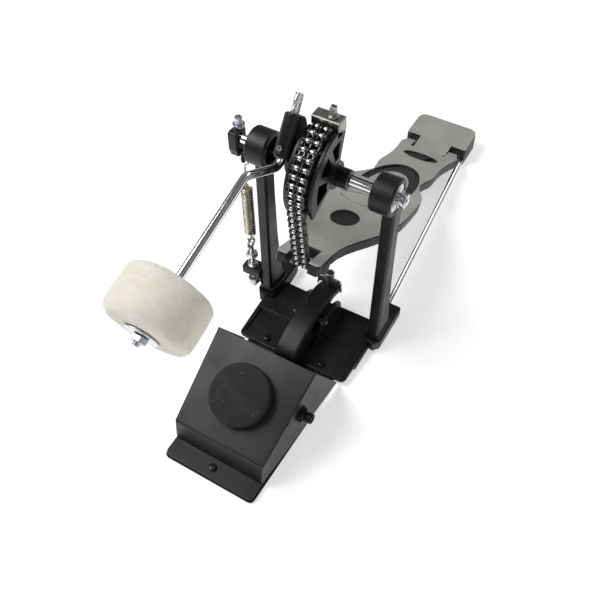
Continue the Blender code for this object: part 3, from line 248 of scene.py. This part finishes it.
def drum(bm, start, direction, radius, length, sides, ease=0.0):
    place = standOn(start, direction) @ Matrix.Translation((0, 0, length / 2 * mm))
    made = bmesh.ops.create_cone(bm, cap_ends=True, segments=sides, radius1=radius * mm, radius2=radius * mm,
                                 depth=length * mm, matrix=place)
    if ease:
        rims = [e for e in {e for v in made["verts"] for e in v.link_edges}
                if len(e.link_faces) == 2 and e.calc_face_angle(0) > 1.2]
        bmesh.ops.bevel(bm, geom=rims, offset=ease * mm, offset_type="OFFSET", affect="EDGES", segments=2,
                        profile=0.5, material=-1, clamp_overlap=True)
    for v in bm.verts:
        v.tag = True


# round wire or bar along points, taken from a bevelled curve
def bar(bm, points, radius, sides=4):
    line = bpy.data.curves.new("line", "CURVE")
    line.dimensions, line.use_fill_caps = "3D", True
    line.bevel_depth, line.bevel_resolution = radius * mm, sides
    spline = line.splines.new("POLY")
    spline.points.add(len(points) - 1)
    for point, place in zip(spline.points, points):
        point.co = (*(Vector(place) * mm), 1)
    holder = bpy.data.objects.new("line", line)
    stage.collection.objects.link(holder)
    mesh = bpy.data.meshes.new_from_object(holder.evaluated_get(bpy.context.evaluated_depsgraph_get()))
    bm.from_mesh(mesh)
    bpy.data.objects.remove(holder)
    bpy.data.curves.remove(line)
    bpy.data.meshes.remove(mesh)
    bmesh.ops.remove_doubles(bm, verts=bm.verts, dist=1e-6)
    for v in bm.verts:
        v.tag = True


# castings, folded sheet and hardware keep the frame's shape, with eased edges

easedParts = {
    "base_casting": (0.45, 2), "left_post": (0.6, 2), "right_post": (0.6, 2), "cam": (0.3, 2),
    "chain_clamp_block": (0.6, 2), "chain_clamp_screw": (0.35, 2), "clamp_arm": (0.7, 2),
    "beater_holder": (0, 0), "crank_block": (0.5, 2),
    "footboard": (0.5, 2), "footboard_top": (0.2, 1), "heel_plate": (0.7, 2), "heel_top": (0.2, 1),
    "tower_cover": (0.35, 2), "tower_floor": (0.2, 1), "clamp_screw": (0, 0),
    "axle_nut": (0, 0), "hex_axle": (0, 0),
    "beater_nut": (0.3, 1), "jack_nut": (0.25, 1), "chain_hook": (0.2, 1),
}


def easedCopy(node, width, segments):
    bm = bmesh.new()
    bm.from_mesh(nodes[node].data)
    bmesh.ops.remove_doubles(bm, verts=bm.verts, dist=3e-6)
    if width:
        bmesh.ops.dissolve_limit(bm, angle_limit=math.radians(1.5), verts=bm.verts, edges=bm.edges)
        edges = [e for e in bm.edges if len(e.link_faces) == 2 and e.calc_face_angle(0) > math.radians(36)
                 and e.calc_length() > 0.8 * mm]
        bmesh.ops.bevel(bm, geom=edges, offset=width * mm, offset_type="OFFSET", affect="EDGES",
                        segments=segments, profile=0.5, material=-1, clamp_overlap=False)
    piece = finishPiece("eased_" + node, bm, nodes[node].data.materials[0].name, node, sharp=40.0)
    level = piece.modifiers.new("flatFaces", "WEIGHTED_NORMAL")
    level.keep_sharp, level.weight = True, 80
    return piece


for node, (width, segments) in easedParts.items():
    easedCopy(node, width, segments)
print("eased parts made:", len(easedParts))

# two-strand chain

chain = dict(pitch=7.45, radius=44.8, lean=6.5, firstRow=-4.94, plateRadius=3.0, waist=0.64,
             rollerRadius=2.55, pinRadius=1.25, wrapRow=-9, lastRow=11, links=3)
outerLayers = ((-7.9, -6.95), (-0.55, 0.55), (6.95, 7.9))
innerLayers = ((-6.6, -5.5), (-2.3, -1.2), (1.2, 2.3), (5.5, 6.6))


def chainRow(index):
    along = chain["firstRow"] + index * chain["pitch"]
    lean = math.radians(chain["lean"])
    angle = -lean + max(0, -along / chain["radius"])
    foot = Vector((0, -chain["radius"] * math.cos(angle), axleHeight + chain["radius"] * math.sin(angle)))
    if along < 0:
        return foot
    return foot + Vector((0, math.sin(lean), -math.cos(lean))) * along


def linkPlate(bm, low, high, first, second):
    for end in (first, second):
        drum(bm, (low, end.y, end.z), (1, 0, 0), chain["plateRadius"], high - low, 14, 0.18)
    half = chain["plateRadius"] * chain["waist"]
    way = (second - first).normalized()
    middle = (first + second) / 2
    frameOf = Matrix((Vector((1, 0, 0)), way, Vector((1, 0, 0)).cross(way))).transposed().to_4x4()
    size = Matrix.Diagonal(((high - low - 0.08) * mm, (second - first).length * mm, half * 2 * mm, 1))
    place = Matrix.Translation(Vector(((low + high) / 2, middle.y, middle.z)) * mm)
    bmesh.ops.create_cube(bm, size=1.0, matrix=place @ frameOf @ size)


def chainPart(node, rows, pinRows):
    plates, rollers = bmesh.new(), bmesh.new()
    for index in rows:
        layers = innerLayers if index % 2 == 0 else outerLayers
        for low, high in layers:
            linkPlate(plates, low, high, chainRow(index), chainRow(index + 1))
    for index in pinRows:
        p = chainRow(index)
        drum(plates, (-8.35, p.y, p.z), (1, 0, 0), chain["pinRadius"], 16.7, 12, 0.25)
        for low in (-5.35, 2.4):
            drum(rollers, (low, p.y, p.z), (1, 0, 0), chain["rollerRadius"], 2.95, 16, 0.25)
    finishPiece(node + "_plates", plates, "blackNickel", node)
    finishPiece(node + "_rollers", rollers, "rollerSteel", node, replace=False)


wrapped = range(chain["wrapRow"], -chain["links"])
chainPart("chain_wrapped", wrapped, range(chain["wrapRow"], 1 - chain["links"]))
for k in range(chain["links"]):
    chainPart("chain_link_%d" % (k + 1), [k - chain["links"]], [k + 1 - chain["links"]])
chainPart("chain_run", range(0, chain["lastRow"]), range(1, chain["lastRow"] + 1))
print("chain made")

# beater

beater = dict(
    points=[(-22.0, 1.0, 271.5), (-22.0, -32.0, 223.0), (-28.0, -70.0, 240.5), (-28.0, -213.5, 200.0)],
    radius=3.5, knurlLength=19.0, bend=9.0)
felt = dict(radius=35.6, length=42.0, back=51.5, hole=3.4, edge=9.0, lumps=0.8, fibres=9000, fibreLength=1.3)
tip = Vector(beater["points"][3])
alongRod = (tip - Vector(beater["points"][2])).normalized()


def roundedLine(points, radius, steps=10):
    corners = [Vector(p) for p in points]
    line = [corners[0]]
    for a, b, c in zip(corners, corners[1:], corners[2:]):
        u, v = (a - b).normalized(), (c - b).normalized()
        half = u.angle(v) / 2
        reach = radius / math.tan(half)
        centre = b + (u + v).normalized() * (radius / math.sin(half))
        first, last = b + u * reach - centre, b + v * reach - centre
        line += [centre + first.slerp(last, k / steps) * radius for k in range(steps + 1)]
    return line + [corners[-1]]


bm = bmesh.new()
line = roundedLine(beater["points"], beater["bend"])
line[0] = line[0] + (line[1] - line[0]).normalized() * beater["knurlLength"]
line[-1] = tip - alongRod * 10.0
bar(bm, line, beater["radius"], 6)
finishPiece("beater_bar", bm, "brightChrome", "beater_rod", sharp=50)
bm = bmesh.new()
top = Vector(beater["points"][0])
down = (Vector(beater["points"][1]) - top).normalized()
knurl = [(0, 0), (2.9, 0), (3.6, 0.8), (3.6, 17.4), (3.3, 18.2), (3.3, 20), (0, 20)]
turned(bm, knurl, 28, standOn(top, down))
finishPiece("beater_knurl", bm, "knurledChrome", "beater_rod", replace=False)
bm = bmesh.new()
profile = [(0, 0), (2.9, 0)]
for k in range(14):
    profile += [(2.95, 0.25 + k * 0.8), (2.55, 0.65 + k * 0.8)]
turned(bm, profile + [(2.95, 11.6), (0, 11.6)], 20, standOn(tip - alongRod * 11.6, alongRod))
finishPiece("beater_thread", bm, "zincPlate", "beater_rod", replace=False)

bm = bmesh.new()
r, n, e = felt["radius"], felt["length"], felt["edge"]
rim = [(r - e + e * math.sin(math.radians(a)), e - e * math.cos(math.radians(a))) for a in range(0, 91, 15)]
outline = [(felt["hole"] + (r - e - felt["hole"]) * k / 9, 0) for k in range(9)] + rim
side = [(r, e + (n - 2 * e) * k / 10) for k in range(1, 10)]
outline += side + [(x, n - y) for x, y in reversed(outline)]
turned(bm, outline, 120, Matrix.Identity(4))
for v in bm.verts:
    away = math.hypot(v.co.x, v.co.y)
    if away > 0.006:
        lumps = noise.noise(v.co * 55) * felt["lumps"]
        lumps += noise.noise(v.co * 160) * 0.28 + noise.noise(v.co * 420) * 0.14
        if away > (r - 1) * mm:
            out = Vector((v.co.x, v.co.y, 0)).normalized()
        else:
            out = Vector((0, 0, -1 if v.co.z < n / 2 * mm else 1))
        v.co += out * (lumps - 0.35) * mm
feltPlace = standOn(tip - alongRod * felt["back"], alongRod)
bmesh.ops.transform(bm, matrix=feltPlace, verts=bm.verts)
skin = [(f.calc_center_median(), f.normal.copy(), f.calc_area()) for f in bm.faces]
skin = [face for face in skin if (face[0] - feltPlace.translation).length > 0.008]
finishPiece("felt_beater", bm, "creamFelt", "felt_head", sharp=80)
chance = random.Random(7)
bm = bmesh.new()
reach = [sum(area for _, _, area in skin[:k + 1]) for k in range(len(skin))]
for _ in range(felt["fibres"]):  # short loose hairs lying nearly flat on the felt
    root, normal, _ = skin[bisect.bisect(reach, chance.random() * reach[-1] * 0.9999)]
    lean = Vector((chance.uniform(-1, 1), chance.uniform(-1, 1), chance.uniform(-1, 1)))
    lean = (lean - normal * lean.dot(normal)).normalized()
    start = root + lean * chance.uniform(-0.9, 0.9) * mm - normal * 0.1 * mm
    middle = start + (lean * 0.8 + normal * 0.28) * felt["fibreLength"] * chance.uniform(0.5, 1) * mm
    end = middle + (lean * 0.5 + normal * chance.uniform(-0.25, 0.2)) * felt["fibreLength"] * mm
    width = lean.cross(normal) * 0.045 * mm
    corners = [bm.verts.new(p) for p in (start - width, start + width, middle + width, middle - width, end)]
    bm.faces.new((corners[0], corners[1], corners[2], corners[3]))
    bm.faces.new((corners[3], corners[2], corners[4]))
finishPiece("felt_fibres", bm, "creamFelt", "felt_head", replace=False, sharp=80)
print("beater made")

# striking pad

pad = dict(radius=28.4, thick=10.0, edge=2.4, dish=0.9, ridge=(0, -99.5, 71.2), fall=(0, -0.905, -0.4258),
           down=45.9, proud=0.35)  # the tower's sloping face falls forward from its ridge
slope = Vector(pad["fall"]).normalized()
padOut = Vector((0, slope.z, -slope.y))
padFoot = Vector(pad["ridge"]) + slope * pad["down"] + padOut * pad["proud"]
bm = bmesh.new()
r, t, e = pad["radius"], pad["thick"], pad["edge"]
turns = [math.radians(a) for a in range(0, 91, 15)]
rim = [(r - e + e * math.cos(a), t - e + e * math.sin(a)) for a in turns]
dish = [(r - e - 3, t - 0.12), (r * 0.5, t - pad["dish"] * 0.8), (0, t - pad["dish"])]
turned(bm, [(0, 0), (r - 0.5, 0), (r, 0.5)] + rim + dish, 96, standOn(padFoot, padOut))
rubber = finishPiece("rubber_pad", bm, "padRubber", "striking_pad", sharp=60)
# faces turned away from the pad's face take the darker copy: painted shade on the pad's side
rubber.data.materials.append(finishes["padSidePaintedShade"])
for face in rubber.data.polygons:
    face.material_index = 1 if face.normal.dot(padOut) < 0.4 else 0
print("pad made")

# spring

spring = dict(x=-78.5, radius=4.8, wire=0.95, coils=23, low=90.0, high=150.0, topEye=180.0, lowEye=80.0)
bm = bmesh.new()
ring = bmesh.ops.create_circle(bm, cap_ends=False, segments=10, radius=spring["wire"] * mm)
coilSide = spring["x"] + spring["radius"]
stand = Matrix.Translation(Vector((coilSide, 0, spring["low"])) * mm)
stand = stand @ Matrix.Rotation(math.radians(90), 4, "X")
bmesh.ops.transform(bm, matrix=stand, verts=ring["verts"])
steps = spring["coils"] * 24
rise = (spring["high"] - spring["low"]) * mm / steps
bmesh.ops.spin(bm, geom=bm.verts[:] + bm.edges[:], cent=(spring["x"] * mm, 0, 0), axis=(0, 0, 1),
               angle=math.tau * spring["coils"], steps=steps, dvec=(0, 0, rise))
for eye, sign, start in ((spring["topEye"], 1, spring["high"]), (spring["lowEye"], -1, spring["low"])):
    bend = ((spring["radius"], 0), (spring["radius"] * 0.8, 1.6), (1.6, 2.2), (0.3, 3.4), (0, 5.5))
    hook = [(spring["x"] + out, 0, start + sign * up) for out, up in bend]
    hook.append((spring["x"], 0, eye - sign * 4.0))
    for k in range(1, 21):
        a = math.radians(-90 + 13.5 * k)
        hook.append((spring["x"] + 3.6 * math.cos(a), 0, eye + sign * (0.4 + 3.4 * math.sin(a))))
    bar(bm, hook, spring["wire"], 3)
coil = finishPiece("return_spring", bm, "warmNickel", "spring", sharp=60, rigid=False)
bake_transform(coil)
print("spring made")

# floor, lights and camera

studio = dict(floor=(0.9, 0.9, 0.9), glow=0.5, sky=0.2, key=15.0, fill=2.5, back=4.0)
bm = bmesh.new()
bmesh.ops.create_grid(bm, x_segments=1, y_segments=1, size=6.0)
mesh = bpy.data.meshes.new("studioFloor")
bm.to_mesh(mesh)
bm.free()
floor = bpy.data.objects.new("studioFloor", mesh)
stage.collection.objects.link(floor)
floor.location.z = -0.0005
paper = bpy.data.materials.new("studioPaper")
paper.use_nodes = True
shader = paper.node_tree.nodes["Principled BSDF"]
shader.inputs["Base Color"].default_value = (*studio["floor"], 1)
shader.inputs["Roughness"].default_value = 0.9
shader.inputs["Emission Color"].default_value = (1, 1, 1, 1)
shader.inputs["Emission Strength"].default_value = studio["glow"]
mesh.materials.append(paper)

world = bpy.data.worlds.new("studioAir")
world.use_nodes = True
air = world.node_tree
height = air.nodes.new("ShaderNodeSeparateXYZ")
air.links.new(air.nodes.new("ShaderNodeTexCoord").outputs["Generated"], height.inputs[0])
band = air.nodes.new("ShaderNodeValToRGB")
band.color_ramp.elements.new(0.5)
band.color_ramp.elements.new(0.75)
bands = ((0.02, 0.12), (0.3, 0.3), (0.55, 1.6), (0.9, 0.7))
for element, (at, level) in zip(band.color_ramp.elements, bands):
    element.position, element.color = at, (level, level, level, 1)
air.links.new(height.outputs["Z"], band.inputs["Fac"])
air.links.new(band.outputs["Color"], air.nodes["Background"].inputs["Color"])
air.nodes["Background"].inputs["Strength"].default_value = studio["sky"]
stage.world = world


def softLight(name, place, aim, size, power):
    lamp = bpy.data.lights.new(name, "AREA")
    lamp.shape, lamp.size, lamp.size_y, lamp.energy = "RECTANGLE", size[0], size[1], power
    obj = bpy.data.objects.new(name, lamp)
    obj.location = place
    obj.rotation_euler = (Vector(aim) - Vector(place)).to_track_quat("-Z", "Y").to_euler()
    stage.collection.objects.link(obj)


softLight("keyPanel", (-0.75, -0.35, 1.25), (0, 0.0, 0.08), (0.8, 0.6), studio["key"])
softLight("fillPanel", (1.1, -0.9, 0.9), (0, 0.0, 0.1), (0.9, 0.9), studio["fill"])
softLight("backPanel", (0.5, 1.2, 1.0), (0, 0.1, 0.1), (1.2, 0.5), studio["back"])

camera = dict(azimuth=30.358, elevation=51.803, roll=-0.409, lens=43.395, place=(0.21007, -0.39772, 0.60429))
az, el, roll = (math.radians(camera[k]) for k in ("azimuth", "elevation", "roll"))
back = Vector((math.sin(az) * math.cos(el), -math.cos(az) * math.cos(el), math.sin(el)))
right = Vector((math.cos(az), math.sin(az), 0))
up = back.cross(right)
right, up = right * math.cos(roll) + up * math.sin(roll), up * math.cos(roll) - right * math.sin(roll)
lensData = bpy.data.cameras.new("view")
lensData.lens, lensData.sensor_width, lensData.clip_start = camera["lens"], 36.0, 0.01
viewer = bpy.data.objects.new("view", lensData)
viewer.matrix_world = Matrix.Translation(camera["place"]) @ Matrix((right, up, back)).transposed().to_4x4()
stage.collection.objects.link(viewer)
stage.camera = viewer
stage.view_settings.view_transform = "Standard"
print("studio ready")

bpy.context.view_layer.update()
